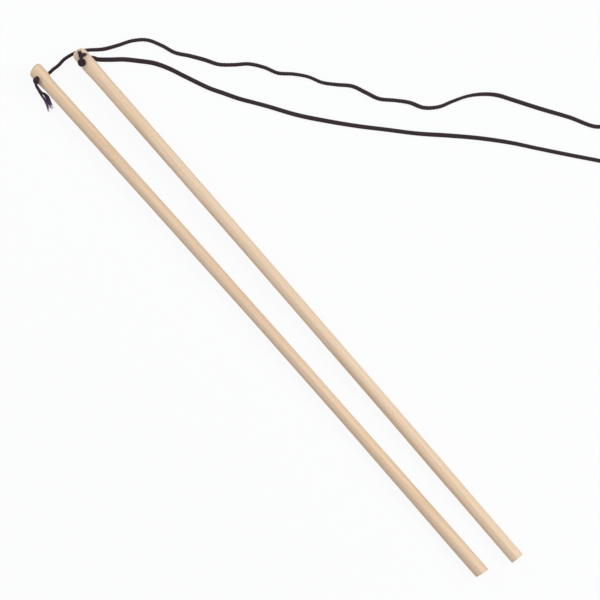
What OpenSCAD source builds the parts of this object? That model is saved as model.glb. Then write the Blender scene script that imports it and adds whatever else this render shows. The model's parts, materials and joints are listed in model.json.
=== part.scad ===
// Pair of wooden diabolo hand sticks, joined by one knotted cord, lying on a flat surface.
// +Y runs along the sticks to their tips, +Z is up, and the origin is under the middle of the pair.

/* [Sticks] */
// Length of each stick
stick_length = 400; // [300:1:450]
// Diameter of each stick
stick_d = 8; // [7:0.1:11]
// Radius of the rounded edge at each tip
tip_round = 2; // [0.5:0.1:3]
// Length of the sanded taper that ends at the tip
taper_length = 14; // [12:0.5:30]
// How much thinner the sanded tip is, across its diameter
taper_cut = 0.4; // [0.1:0.1:1]
// Bevel on the sawn edge of each butt end
butt_bevel = 0.4; // [0.1:0.1:1]

/* [Cord holes] */
// Diameter of the hole drilled across each stick
bore_d = 2.8; // [2.6:0.1:4]
// Distance from the tip to the middle of the hole
bore_from_tip = 8.5; // [6:0.5:10]
// Lean of the left hole from upright, which puts its knot up and to the left
left_lean = 37; // [25:1:45]
// Lean of the right hole from upright, which puts its knot up and to the left
right_lean = 26; // [20:1:45]

/* [Layout] */
// Distance between the two sticks at the middle of their length
stick_spacing = 24; // [20:0.5:40]
// How far the left stick lies ahead of the right one
stagger = 8.8; // [0:0.2:12]
// Angle by which each stick turns outwards at its tip
splay = 0.33; // [0:0.01:1]

/* [Cord] */
// Diameter of the cord
cord_d = 2.4; // [1.8:0.1:2.6]
// Diameter of the knot at each hole
knot_d = 4.6; // [3.6:0.1:6]
// Diameter of each of the two strands that a tail frays into
strand_d = 1.4; // [0.8:0.1:1.6]
// Number of turns in the coil that holds the spare length
coil_turns = 9.6; // [5.6:1:10.6]
// Radius of the outermost turn of the coil, at the middle of the cord
coil_radius = 19; // [17.5:0.1:24]
// Gap between neighbouring turns of the coil
coil_gap = 0.45; // [0.42:0.01:0.8]

/* [Tie] */
// Width of the tie round the coil
tie_width = 3; // [2:0.5:6]
// Thickness of the tie
tie_thickness = 0.6; // [0.4:0.1:1]

/* [Hidden] */
$fn = 64;

LEFT = -1;
RIGHT = 1;
wood = [0.88, 0.76, 0.62];
black = [0.16, 0.14, 0.15];

// Clearances between one piece and the next
seat_gap = 0.1;
exit_gap = 0.3;
floor_gap = 0.05;
swing_gap = 0.3;
tie_gap = 0.3;
joint_gap = 0.02;

stick_r = stick_d / 2;
tip_r = stick_r - taper_cut / 2;
cord_r = cord_d / 2;
strand_r = strand_d / 2;
floor_z = cord_r + floor_gap;
bore_y = stick_length / 2 - bore_from_tip;

// The cord leaves each hole straight, bends flat and runs off on the surface, turned this far from +X
exit_h = stick_r + exit_gap;
exit_run = 0.4;
bend_r = 2 * cord_d;
left_heading = 3;
right_heading = -65;
function lean(side) = side == LEFT ? left_lean : right_lean;
function heading(side) = side == LEFT ? left_heading : right_heading;
function run_off(side) = [cos(heading(side)), sin(heading(side)), 0];

// Each tip is propped on its cord, high enough for that bend and for its end to swing clear of the surface
function bend_z(side) =
    let (turn = acos(sin(lean(side)) * run_off(side).x))
    floor_z + (exit_h + exit_run + bend_r * tan(turn / 2)) * cos(lean(side));
function swing_z(side) =
    let (ahead = (bore_from_tip - tip_round) * sin(lean(side)))
    let (aside = (tip_r - tip_round) * cos(lean(side)))
    swing_gap + tip_round + ahead + aside;
function bore_z(side) = max(bend_z(side), swing_z(side));
function tilt(side) = asin((bore_z(side) - stick_r) / (stick_length - bore_from_tip));

// Turning and placing points, in the same order as the modules do
function turn_x(p, a) = [p.x, p.y * cos(a) - p.z * sin(a), p.y * sin(a) + p.z * cos(a)];
function turn_y(p, a) = [p.x * cos(a) + p.z * sin(a), p.y, p.z * cos(a) - p.x * sin(a)];
function turn_z(p, a) = [p.x * cos(a) - p.y * sin(a), p.x * sin(a) + p.y * cos(a), p.z];
function stick_middle(side) =
    let (height = stick_r * cos(tilt(side)) + stick_length / 2 * sin(tilt(side)))
    [side * stick_spacing / 2, -side * stagger / 2, height];
function on_stick(side, p) = stick_middle(side) + turn_z(turn_x(p, tilt(side)), -side * splay);
// A point on the axis of the hole, counted from the stick's own axis towards the knot
function on_bore(side, h) = on_stick(side, [0, bore_y, 0] + turn_y([0, 0, h], -lean(side)));

function unit(v) = v / norm(v);
function smooth(t) = let (s = min(1, max(0, t))) s * s * (3 - 2 * s);

// A round tube swept along a list of points, with flat square ends and triangular faces
function way_at(path, i) = unit(path[min(i + 1, len(path) - 1)] - path[max(i - 1, 0)]);
function ring(path, i, radius, sides) =
    let (along = way_at(path, i))
    let (across = unit(cross(along, [0, 0, 1])))
    let (above = cross(across, along))
    [for (k = [0 : sides - 1])
        path[i] + radius * (cos(360 * k / sides) * across + sin(360 * k / sides) * above)];

module tube(path, d, sides) {
    rings = len(path);
    points = [for (i = [0 : rings - 1]) each ring(path, i, d / 2, sides)];
    walls = [for (i = [0 : rings - 2]) for (k = [0 : sides - 1])
        let (a = i * sides + k)
        let (b = i * sides + (k + 1) % sides)
        each [[a, b, a + sides], [b, b + sides, a + sides]]];
    end = (rings - 1) * sides;
    first = [for (k = [1 : sides - 2]) [0, k + 1, k]];
    last = [for (k = [1 : sides - 2]) [end, end + k, end + k + 1]];
    polyhedron(points, concat(walls, first, last));
}

// The coil lies past the free stretches: a flat spiral in, a climb, and a spiral out on top.
// It ends where the right stretch meets its outer turn, a place counted from the middle between the holes.
coil_end = [220, -273];
coil_end_angle = 216;
coil_middle = [0, bore_y] + coil_end - coil_radius * [cos(coil_end_angle), sin(coil_end_angle)];
coil_pitch = cord_d + coil_gap;
coil_z = tie_thickness + seat_gap + cord_r;
rings_per_turn = 24;
tie_side = 304;
tie_corner = 1;

function coil_point(t) =
    let (inward = t < coil_turns / 2 ? t : coil_turns - t)
    let (r = coil_radius - coil_pitch * inward)
    let (z = coil_z + coil_pitch * smooth((t - coil_turns / 2) * 2 + 0.5))
    let (a = coil_end_angle + 360 * (coil_turns - t))
    [coil_middle.x + r * cos(a), coil_middle.y + r * sin(a), z];

coil_steps = round(coil_turns * rings_per_turn);
coil_spiral = [for (i = [0 : coil_steps]) coil_point(i / rings_per_turn)];
coil_in_way = unit(coil_spiral[1] - coil_spiral[0]);
coil_out_way = unit(coil_spiral[coil_steps] - coil_spiral[coil_steps - 1]);
coil_in = coil_spiral[0] - cord_d * coil_in_way;
coil_out = coil_spiral[coil_steps] + cord_d * coil_out_way;
coil_path = concat([coil_in], coil_spiral, [coil_out]);

// Least gap between turns, measured between points that are more than a quarter turn apart
quarter = rings_per_turn / 4;
coil_least_gap = min([for (i = [0 : coil_steps - quarter]) for (j = [i + quarter : coil_steps])
    norm(coil_spiral[i] - coil_spiral[j])]) - cord_d;
echo(coil_least_gap = coil_least_gap);

// Points of the free stretches, counted from the middle between the holes.
// They lie on the surface, and a third number lifts a point off it.
left_points = [
    [-1, 4.4], [4, 4.8], [10, 3.8], [14.5, 2.2], [18.5, -0.6], [25.5, -6], [33.5, -10], [41.5, -13.5],
    [48.5, -19], [53, -27.5], [56, -35.5], [61.5, -43], [66.5, -50.5], [71, -58], [77.5, -64],
    [84.5, -69.5], [90, -77], [94, -85], [100.5, -91.5], [106, -98.5], [110, -106.5], [115.5, -113],
    [122, -120], [125.5, -128], [129, -136], [135.5, -143], [141, -149.5], [145.5, -157.5],
    [152.5, -163], [161, -166], [169.5, -169.5], [177, -174.5], [183, -180.5], [188, -188.5], [197, -203.5],
    [206.5, -218.5], [215.5, -234], [224.5, -238.5, 0.2]];
right_points = [
    [24, -13], [30.5, -18.5], [37, -25.5], [42.5, -32], [47, -40], [50.5, -48.5], [54, -57], [57.5, -65],
    [62, -73], [66.5, -81], [71.5, -88.5], [76.5, -96], [86, -111], [97, -125.5], [108.5, -139.5],
    [120.5, -153], [132.5, -166.5], [145.5, -179.5], [158, -192.5], [170, -206.5], [180.5, -220.5],
    [191.5, -235], [203.5, -250.5], [208, -256.5, 0.4], [212.5, -262.5, 1.7]];
function laid(points) = [for (p = points) [p.x, p.y + bore_y, floor_z + (len(p) > 2 ? p[2] : 0)]];

// The round bend that turns the cord from the way it leaves the hole to the way it runs off
bend_steps = 4;
function bend(side) =
    let (from = on_bore(side, -exit_h - exit_run))
    let (down = unit(from - on_bore(side, 0)))
    let (flat = run_off(side))
    let (turn = acos(down * flat))
    let (r = (floor_z - from.z) / down.z / tan(turn / 2))
    let (inward = unit(flat - (down * flat) * down))
    [for (k = [0 : bend_steps])
        let (t = turn * k / bend_steps) from + r * (sin(t) * down + (1 - cos(t)) * inward)];

function lead_path(side, points, end, way) = concat(
    [on_bore(side, -exit_h)],
    bend(side),
    laid(points),
    [end + (cord_d + joint_gap) * way, end + joint_gap * way]);

// A knot is two wraps of the cord, one on the other
wrap_r = knot_d / 4;
wrap_rise = 1.5 * wrap_r;
knot_seat = stick_r + seat_gap + wrap_r;
knot_h = knot_seat + wrap_rise / 2;

// Points of the left tail's strands, from inside the knot: outwards from the stick's left side, and along
// the stick from the hole. The strands fall from the knot to the surface in the first steps.
left_strands = [
    [[0.7, 1], [1.7, -1.2], [2.6, -4.2], [3, -7.2], [3.2, -10.2], [3.8, -12.6], [5, -14.6], [6, -16.4]],
    [[0.2, 0.4], [1.2, -1.6], [1.9, -4.2], [1.8, -6.2], [1.1, -7.8], [1.1, -10], [1.7, -13], [3.4, -16]]];
fall_steps = 5;
strand_z = strand_r + floor_gap;
function left_strand(points) =
    let (hole = on_bore(LEFT, 0))
    let (top = on_bore(LEFT, knot_h).z)
    [for (i = [0 : len(points) - 1])
        let (z = top + (strand_z - top) * smooth(i / fall_steps))
        [hole.x - stick_r - points[i].x, hole.y + points[i].y, z]];

// Points of the right tail's strands, which lie on the stick: the turn from its top towards the left,
// the place along it from the hole, and the lift off it
right_strands = [
    [[22, 1.6, 1.6], [16, 2.8, 1], [8, 3.9, 0.5], [-2, 5, 0.1], [-8, 6.1, 0], [-10, 7.2, 0]],
    [[20, 1.5, 1.6], [13, 2.9, 0.9], [2, 3.9, 0.4], [-9, 4.2, 0.1], [-19, 3.5, 0], [-29, 2.5, 0]]];
function right_strand(points) =
    [for (p = points)
        let (r = stick_r + seat_gap + strand_r + p[2])
        on_stick(RIGHT, [-r * sin(p[0]), bore_y + p[1], r * cos(p[0])])];

// Carries a shape from the stick's own frame, with its axis on Y, to where that stick lies
module place_stick(side)
    translate(stick_middle(side)) rotate([tilt(side), 0, -side * splay]) children();

// Carries a shape from the hole's own frame, with the knot on +Z, to that hole
module place_bore(side)
    place_stick(side) translate([0, bore_y, 0]) rotate([0, -lean(side), 0]) children();

module stick_profile() {
    wall_end = stick_length - taper_length;
    round_end = stick_length - tip_round;
    polygon([[0, 0], [stick_r - butt_bevel, 0], [stick_r, butt_bevel], [stick_r, wall_end],
             [tip_r, round_end], [tip_r - tip_round, stick_length], [0, stick_length]]);
    intersection() {
        translate([tip_r - tip_round, round_end]) circle(tip_round);
        translate([0, wall_end]) square([tip_r, taper_length]);
    }
}

module stick(side) {
    difference() {
        place_stick(side) rotate([-90, 0, 0]) translate([0, 0, -stick_length / 2])
            rotate_extrude() stick_profile();
        place_bore(side) cylinder(d = bore_d, h = 2 * stick_d, center = true);
    }
}

// A stopper knot, with the stretch of cord that fills the hole
module knot(side) {
    middle_r = knot_d / 2 - wrap_r;
    place_bore(side) rotate_extrude() {
        translate([0, joint_gap - exit_h]) square([cord_r, exit_h + knot_seat]);
        translate([0, knot_seat - wrap_r / 2]) square([middle_r, wrap_rise + wrap_r]);
        for (h = [knot_seat, knot_seat + wrap_rise]) translate([middle_r, h]) circle(wrap_r);
    }
}

module strand(points) { tube(points, strand_d, 8); }

module left_stick() { color(wood) stick(LEFT); }
module right_stick() { color(wood) stick(RIGHT); }
module left_knot() { color(black) knot(LEFT); }
module right_knot() { color(black) knot(RIGHT); }
module left_tail() { color(black) for (points = left_strands) strand(left_strand(points)); }
module right_tail() { color(black) for (points = right_strands) strand(right_strand(points)); }
module left_lead() { color(black) tube(lead_path(LEFT, left_points, coil_in, -coil_in_way), cord_d, 8); }
module right_lead() { color(black) tube(lead_path(RIGHT, right_points, coil_out, coil_out_way), cord_d, 8); }
module cord_coil() { color(black) tube(coil_path, cord_d, 6); }

// A flat band round the turns of the coil, on the side away from the sticks
module coil_tie() {
    inner = coil_radius - coil_pitch * coil_turns / 2 - cord_r - tie_gap;
    outer = coil_radius + cord_r + tie_gap;
    high = coil_z + coil_pitch + cord_r + tie_gap;
    color(black) translate([coil_middle.x, coil_middle.y, 0]) rotate(tie_side)
        translate([0, tie_width / 2, 0]) rotate([90, 0, 0]) linear_extrude(tie_width) difference() {
            round_box([inner - tie_thickness, 0], [outer + tie_thickness, high + tie_thickness],
                      tie_corner + tie_thickness);
            round_box([inner, tie_thickness], [outer, high], tie_corner);
        }
}

module round_box(from, to, r) {
    translate([from.x + r, from.y]) square([to.x - from.x - 2 * r, to.y - from.y]);
    translate([from.x, from.y + r]) square([to.x - from.x, to.y - from.y - 2 * r]);
    for (x = [from.x + r, to.x - r]) for (y = [from.y + r, to.y - r]) translate([x, y]) circle(r);
}

left_stick();
right_stick();
left_knot();
right_knot();
left_tail();
right_tail();
left_lead();
right_lead();
cord_coil();
coil_tie();
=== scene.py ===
# Looks of a pair of diabolo hand sticks: pale wooden dowels, a black braided cord with its knots and
# frayed ends, and the twist tie round the spare length of cord.
import json
import math
from types import SimpleNamespace

import bpy
import numpy as np
from mathutils import Matrix, Vector


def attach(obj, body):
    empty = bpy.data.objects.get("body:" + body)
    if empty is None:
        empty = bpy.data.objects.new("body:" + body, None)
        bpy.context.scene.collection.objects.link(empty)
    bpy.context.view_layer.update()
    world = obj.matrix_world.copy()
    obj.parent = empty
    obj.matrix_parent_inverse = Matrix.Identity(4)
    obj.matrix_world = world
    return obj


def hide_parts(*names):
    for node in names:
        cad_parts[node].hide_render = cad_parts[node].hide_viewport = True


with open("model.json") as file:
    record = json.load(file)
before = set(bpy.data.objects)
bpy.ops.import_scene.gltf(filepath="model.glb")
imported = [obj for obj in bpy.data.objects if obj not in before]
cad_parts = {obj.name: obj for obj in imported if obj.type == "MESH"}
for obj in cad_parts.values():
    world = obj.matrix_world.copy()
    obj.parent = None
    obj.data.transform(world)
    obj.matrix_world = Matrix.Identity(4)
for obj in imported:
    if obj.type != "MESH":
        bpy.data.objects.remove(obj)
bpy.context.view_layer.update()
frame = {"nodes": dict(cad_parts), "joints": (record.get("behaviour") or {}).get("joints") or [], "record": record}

MM = 0.001
UP = np.array([0.0, 0.0, 1.0])
TINY = 1e-6


# Small helpers

def unit(v):
    """A vector, or each row of vectors, at length 1."""
    v = np.asarray(v, float)
    return v / np.linalg.norm(v, axis=-1, keepdims=True)


def smooth(t):
    """A soft step from 0 to 1 while t goes from 0 to 1."""
    s = np.clip(t, 0.0, 1.0)
    return s * s * (3 - 2 * s)


# Where the frame holds each stick and its hole

def side_facts(name):
    """One stick in the row frame: its butt end, its own axes, its size, and its hole."""
    mounts = {m["name"]: m for m in frame["record"]["mounts"]}
    joint = next(j for j in frame["joints"] if j["name"] == f"{name}_swivel")
    butt = np.array(mounts[f"{name}_butt"]["pos_m"])
    along = -unit(mounts[f"{name}_butt"]["axis"])
    across = unit(np.cross(along, UP))
    above = np.cross(across, along)
    hole = np.array(joint["pos_m"])
    corners = frame["nodes"][f"{name}_stick"].data.vertices
    return SimpleNamespace(
        name=name, butt=butt, along=along, axes=np.column_stack([across, along, above]),
        length=max((np.array(v.co) - butt) @ along for v in corners),
        radius=mounts[f"{name}_grip"]["dims"]["r_mm"] * MM,
        hole=hole, hole_y=(hole - butt) @ along, bore=unit(joint["axis"]))


left = side_facts("left")
right = side_facts("right")


def on_bore(side, height):
    """A point on the axis of the hole, counted from the stick's axis towards the knot."""
    return side.hole + height * side.bore


# How far towards the tip each hole comes out on the knot's side. The frame's holes are square.
HOLE_SKEW = {"left": 1.7 * MM, "right": 0.45 * MM}


def hole_shift(side, height):
    """How far the drilled hole lies towards the tip at a height above the stick's axis."""
    return HOLE_SKEW[side.name] * (height + side.radius) / (2 * side.radius)


def on_stick(side, points):
    """Points of the stick's own frame (right, along from the butt, up) in the row frame."""
    return side.butt + np.asarray(points) @ side.axes.T


# Camera, looking straight down as in the photo

VIEW_MIDDLE = np.array([14.97, -3.35, 3.0]) * MM
VIEW_RIGHT = Vector((0.7517, -0.6595, 0.0)).normalized()
VIEW_WIDTH = 355.9 * MM
VIEW_DISTANCE = 3.0
SENSOR_WIDTH = 36.0


def make_camera():
    data = bpy.data.cameras.new("camera")
    data.sensor_width = SENSOR_WIDTH
    data.lens = SENSOR_WIDTH * VIEW_DISTANCE / VIEW_WIDTH
    camera = bpy.data.objects.new("camera", data)
    back = Vector(UP)
    turn = Matrix([VIEW_RIGHT, back.cross(VIEW_RIGHT), back]).transposed().to_4x4()
    camera.matrix_world = Matrix.Translation(Vector(VIEW_MIDDLE) + VIEW_DISTANCE * back) @ turn
    bpy.context.scene.collection.objects.link(camera)
    bpy.context.scene.camera = camera


make_camera()


# Meshes swept along paths

CENTRIPETAL = 0.5
FINE_PER_STEP = 4
STEEP = 0.8


def distances(path):
    """The way along a path to each of its points."""
    return np.concatenate([[0], np.cumsum(np.linalg.norm(np.diff(path, axis=0), axis=1))])


def resample(path, step):
    """Points at even steps along a path of straight pieces."""
    along = distances(path)
    at = np.linspace(0, along[-1], max(2, round(along[-1] / step) + 1))
    return np.column_stack([np.interp(at, along, path[:, i]) for i in range(3)])


def even_path(points, step):
    """Points at even steps along a centripetal Catmull-Rom curve through the given points."""
    points = np.asarray(points, float)
    before = 2 * points[0] - points[1]
    after = 2 * points[-1] - points[-2]
    p = np.vstack([before, points, after])
    gaps = np.linalg.norm(np.diff(p, axis=0), axis=1)
    times = np.concatenate([[0], np.cumsum(gaps ** CENTRIPETAL)])
    pieces = []
    for i in range(1, len(p) - 2):
        a, b, c, d = times[i - 1:i + 3]
        count = max(2, math.ceil(np.linalg.norm(p[i + 1] - p[i]) / step * FINE_PER_STEP))
        t = np.linspace(b, c, count, endpoint=False)[:, None]
        first = (b - t) / (b - a) * p[i - 1] + (t - a) / (b - a) * p[i]
        second = (c - t) / (c - b) * p[i] + (t - b) / (c - b) * p[i + 1]
        third = (d - t) / (d - c) * p[i + 1] + (t - c) / (d - c) * p[i + 2]
        early = (c - t) / (c - a) * first + (t - a) / (c - a) * second
        late = (d - t) / (d - b) * second + (t - b) / (d - b) * third
        pieces.append((c - t) / (c - b) * early + (t - b) / (c - b) * late)
    return resample(np.vstack([*pieces, points[-1:]]), step)


def frames_along(path):
    """Two axes across each point of a path, carried along it without twist."""
    ways = unit(np.gradient(path, axis=0))
    start = UP if abs(ways[0] @ UP) < STEEP else np.array([1.0, 0.0, 0.0])
    first = np.empty_like(path)
    first[0] = unit(start - (start @ ways[0]) * ways[0])
    for i in range(1, len(path)):
        carried = first[i - 1] - (first[i - 1] @ ways[i]) * ways[i]
        first[i] = carried / np.linalg.norm(carried)
    return first, np.cross(ways, first)


def ring_faces(rings, sides):
    """Faces of a closed tube whose rings follow one another."""
    faces = []
    for i in range(rings - 1):
        for k in range(sides):
            a = i * sides + k
            b = i * sides + (k + 1) % sides
            faces.append((a, b, b + sides, a + sides))
    faces.append(tuple(range(sides - 1, -1, -1)))
    faces.append(tuple(range((rings - 1) * sides, rings * sides)))
    return faces


def tube(path, radius, sides, wide=1.0, tall=1.0):
    """Points and faces of a closed tube. The radius is one number, one per ring, or one per point."""
    first, second = frames_along(path)
    angle = 2 * np.pi * np.arange(sides) / sides
    radius = np.asarray(radius, float)
    if radius.ndim < 2:
        radius = radius.reshape(-1, 1)
    radius = np.broadcast_to(radius, (len(path), sides))
    up = np.cos(angle)[None, :, None] * (first * np.reshape(tall, (-1, 1)))[:, None, :]
    aside = np.sin(angle)[None, :, None] * (second * np.reshape(wide, (-1, 1)))[:, None, :]
    points = path[:, None, :] + radius[:, :, None] * (up + aside)
    return points.reshape(-1, 3), ring_faces(len(path), sides)


def joined(parts):
    """Several (points, faces) as one."""
    points = []
    faces = []
    start = 0
    for some_points, some_faces in parts:
        points.append(some_points)
        faces += [tuple(start + i for i in face) for face in some_faces]
        start += len(some_points)
    return np.vstack(points), faces


def add_piece(name, points, faces, material, body, nodes, place=None):
    """A mesh of the object that rides on a body and stands for some CAD nodes."""
    mesh = bpy.data.meshes.new(name)
    mesh.from_pydata(points.tolist(), [], faces)
    mesh.validate()
    mesh.polygons.foreach_set("use_smooth", [True] * len(mesh.polygons))
    mesh.materials.append(material)
    piece = bpy.data.objects.new(name, mesh)
    if place is not None:
        piece.matrix_world = place
    bpy.context.scene.collection.objects.link(piece)
    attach(piece, body)
    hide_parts(*nodes)
    return piece


# Shader nodes

# Sockets of a Mix node that mixes colours
MIX_FACTOR = 0
MIX_A = 6
MIX_B = 7
MIX_RESULT = 2


class Shader:
    """A new material and the means to add nodes to it. Values and sockets both go to named inputs."""

    def __init__(self, name):
        self.material = bpy.data.materials.new(name)
        self.material.use_nodes = True
        self.tree = self.material.node_tree
        self.surface = self.tree.nodes["Principled BSDF"]

    def put(self, node, key, value):
        if isinstance(value, bpy.types.NodeSocket):
            self.tree.links.new(value, node.inputs[key])
        else:
            node.inputs[key].default_value = value

    def add(self, kind, inputs, **settings):
        node = self.tree.nodes.new("ShaderNode" + kind)
        for key, value in settings.items():
            setattr(node, key, value)
        for key, value in inputs.items():
            self.put(node, key, value)
        return node

    def set(self, **inputs):
        for key, value in inputs.items():
            self.put(self.surface, key.replace("_", " "), value)

    def place(self):
        return self.add("TexCoord", {}).outputs["Object"]

    def facing(self):
        return self.add("TexCoord", {}).outputs["Normal"]

    def attribute(self, name, output):
        return self.add("Attribute", {}, attribute_name=name).outputs[output]

    def part(self, vector, axis):
        return self.add("SeparateXYZ", {0: vector}).outputs[axis]

    def math(self, operation, a, b=0.0):
        return self.add("Math", {0: a, 1: b}, operation=operation).outputs[0]

    def times(self, a, b):
        return self.math("MULTIPLY", a, b)

    def plus(self, a, b):
        return self.math("ADD", a, b)

    def minus(self, a, b):
        return self.math("SUBTRACT", a, b)

    def vector(self, operation, a, b=(0.0, 0.0, 0.0)):
        node = self.add("VectorMath", {0: a, 1: b}, operation=operation)
        return node.outputs["Value" if operation == "LENGTH" else "Vector"]

    def noise(self, place, scale, detail):
        """Noise from 0 to 1, with a scale per metre for each axis."""
        inputs = {"Vector": self.vector("MULTIPLY", place, scale), "Scale": 1.0, "Detail": detail}
        return self.add("TexNoise", inputs).outputs["Fac"]

    def step(self, value, low, high, to_low=0.0, to_high=1.0):
        """A soft step while the value goes from low to high, which may lie below low."""
        inputs = {"Value": value, "From Min": low, "From Max": high, "To Min": to_low, "To Max": to_high}
        return self.add("MapRange", inputs, interpolation_type="SMOOTHSTEP").outputs["Result"]

    def mix(self, factor, a, b, blend="MIX"):
        inputs = {MIX_FACTOR: factor, MIX_A: a, MIX_B: b}
        return self.add("Mix", inputs, data_type="RGBA", blend_type=blend).outputs[MIX_RESULT]

    def bump(self, height, distance, strength):
        node = self.add("Bump", {"Height": height, "Distance": distance, "Strength": strength})
        return node.outputs["Normal"]


# Wood

RING_STEP = 1.9 * MM
RINGS_PER_METRE_ALONG = 4.5
RING_WANDER = 2.2
WANDER_SCALE = (60.0, 7.0, 60.0)
FIBRE_SCALE = (5200.0, 95.0, 5200.0)
STREAK_SCALE = (1100.0, 11.0, 1100.0)
PORE_SCALE = (2900.0, 170.0, 2900.0)
TONE_SCALE = (90.0, 14.0, 90.0)
LATE_WOOD = (0.70, 0.51, 0.34, 1.0)
LATE_SHARE = 0.36
FIBRE_WOOD = (0.76, 0.57, 0.39, 1.0)
FIBRE_SHARE = 0.35
PORE_WOOD = (0.45, 0.29, 0.17, 1.0)
PORE_SHARE = 0.3
DEEPER_TONE = (1.0, 0.95, 0.88, 1.0)
TONE_SHARE = 0.5
END_GRAIN_WOOD = (0.66, 0.47, 0.31, 1.0)
END_GRAIN_SHARE = 0.55
# Colour and share of the painted shadow that the knot and cord cast round the hole
KNOT_SHADOW_WOOD = (0.36, 0.25, 0.18, 1.0)
KNOT_SHADOW_SHARE = 0.5
# Painted shadow of the knot and cord round a hole: how far its edge and its core lie from the hole's axis, and its
# wander
KNOT_SHADOW_EDGE = 3.6 * MM
KNOT_SHADOW_CORE = 1.7 * MM
KNOT_SHADOW_WANDER = 1.2 * MM
WOOD_RELIEF = 0.05 * MM
LATE_RELIEF = 0.5
WOOD_GLOSS = SimpleNamespace(smoothest=0.46, roughest=0.62, specular=0.45, bump=0.35)


def wood_material(side, pale, dark, pith):
    """Bare sanded hardwood in the stick's own frame, with growth rings about a pith outside the dowel."""
    wood = Shader(f"{side.name}_wood")
    place = wood.place()

    # Growth rings, which wander slowly along the stick
    off_pith = wood.vector("SUBTRACT", place, (pith[0], 0.0, pith[1]))
    from_pith = wood.vector("LENGTH", wood.vector("MULTIPLY", off_pith, (1.0, 0.0, 1.0)))
    rings = wood.math("DIVIDE", from_pith, RING_STEP)
    rings = wood.plus(rings, wood.times(wood.noise(place, WANDER_SCALE, detail=2.0), RING_WANDER))
    rings = wood.plus(rings, wood.times(wood.part(place, "Y"), RINGS_PER_METRE_ALONG))
    phase = wood.math("FRACT", rings)
    late = wood.times(wood.step(phase, low=0.3, high=0.88), wood.step(phase, low=1.0, high=0.93))

    # Fibres, longer streaks, short pores and the slow change of tone along the stick
    fibre = wood.noise(place, FIBRE_SCALE, detail=2.0)
    streak = wood.noise(place, STREAK_SCALE, detail=3.0)
    pores = wood.step(wood.noise(place, PORE_SCALE, detail=1.0), low=0.66, high=0.76)
    tone = wood.noise(place, TONE_SCALE, detail=2.0)
    colour = wood.mix(wood.step(streak, low=0.3, high=0.75), pale, dark)
    colour = wood.mix(wood.times(late, LATE_SHARE), colour, LATE_WOOD)
    colour = wood.mix(wood.step(fibre, low=0.35, high=0.8, to_high=FIBRE_SHARE), colour, FIBRE_WOOD)
    colour = wood.mix(wood.times(pores, PORE_SHARE), colour, PORE_WOOD)
    deeper = wood.step(tone, low=0.35, high=0.7, to_high=TONE_SHARE)
    colour = wood.mix(deeper, colour, DEEPER_TONE, blend="MULTIPLY")

    # The sawn end is darker, and painted shadow of the knot and cord darkens the wood round the hole
    to_butt = wood.times(wood.part(wood.facing(), "Y"), -1.0)
    end_grain = wood.step(to_butt, low=0.55, high=0.95, to_high=END_GRAIN_SHARE)
    colour = wood.mix(end_grain, colour, END_GRAIN_WOOD)
    from_hole = wood.vector("SUBTRACT", place, (0.0, side.hole_y, 0.0))
    off_axis = wood.vector("CROSS_PRODUCT", from_hole, tuple(side.axes.T @ side.bore))
    off_axis = wood.plus(wood.vector("LENGTH", off_axis), wood.times(tone, KNOT_SHADOW_WANDER))
    # Painted shadow: the wood darkens towards the hole's axis
    knot_shadow = wood.step(off_axis, low=KNOT_SHADOW_EDGE, high=KNOT_SHADOW_CORE)
    colour = wood.mix(wood.times(knot_shadow, KNOT_SHADOW_SHARE), colour, KNOT_SHADOW_WOOD)

    height = wood.plus(fibre, wood.times(late, LATE_RELIEF))
    height = wood.minus(height, pores)
    rough = wood.step(fibre, low=0.3, high=0.8, to_low=WOOD_GLOSS.smoothest, to_high=WOOD_GLOSS.roughest)
    wood.set(Base_Color=colour, Roughness=rough, Specular_IOR_Level=WOOD_GLOSS.specular,
             Normal=wood.bump(height, WOOD_RELIEF, WOOD_GLOSS.bump))
    return wood.material


# Braid, yarn and the tie's plastic

STRANDS_EACH_WAY = 4
FILAMENTS = 5
# How far a strand rises where it goes over another and dips where it goes under, in half widths of it
STRAND_LIFT = 0.5
STRAND_TOP = 1 + STRAND_LIFT

# Painted shade in the gaps between strands, and the yarn's own colour on the crests
BRAID_GAP_SHADE = (0.007, 0.0045, 0.006, 1.0)
BRAID_CREST = (0.036, 0.0215, 0.030, 1.0)
BRAID_FUZZ = (0.060, 0.037, 0.049, 1.0)
BRAID_FUZZ_SHARE = 0.4
BRAID_FUZZ_SCALE = (2600.0, 2600.0, 2600.0)
BRAID_WORN = (0.044, 0.028, 0.033, 1.0)
BRAID_WORN_SHARE = 0.35
BRAID_WORN_SCALE = (130.0, 130.0, 130.0)
BRAID_RELIEF = 0.12 * MM
BRAID_HEIGHTS = SimpleNamespace(strand=2.2, filament=0.12, fuzz=0.5)
BRAID_SHEEN = (0.6, 0.4, 0.55, 1.0)

YARN_BLACK = (0.030, 0.0165, 0.026, 1.0)
YARN_FADED = (0.21, 0.125, 0.22, 1.0)
YARN_FUZZ = (0.12, 0.075, 0.12, 1.0)
YARN_FUZZ_SHARE = 0.3
YARN_FUZZ_SCALE = (3000.0, 3000.0, 3000.0)
YARN_RELIEF = 0.04 * MM
YARN_GLOSS = SimpleNamespace(smoothest=0.7, roughest=0.9, specular=0.25)

TIE_BLACK = (0.012, 0.012, 0.013, 1.0)
TIE_SCUFF = (0.035, 0.034, 0.036, 1.0)
TIE_SCUFF_SHARE = 0.6
TIE_SCUFF_SCALE = (500.0, 500.0, 500.0)
TIE_GRAIN_SCALE = (1800.0, 1800.0, 1800.0)
TIE_RELIEF = 0.04 * MM
TIE_GLOSS = SimpleNamespace(smoothest=0.32, roughest=0.5)


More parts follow.
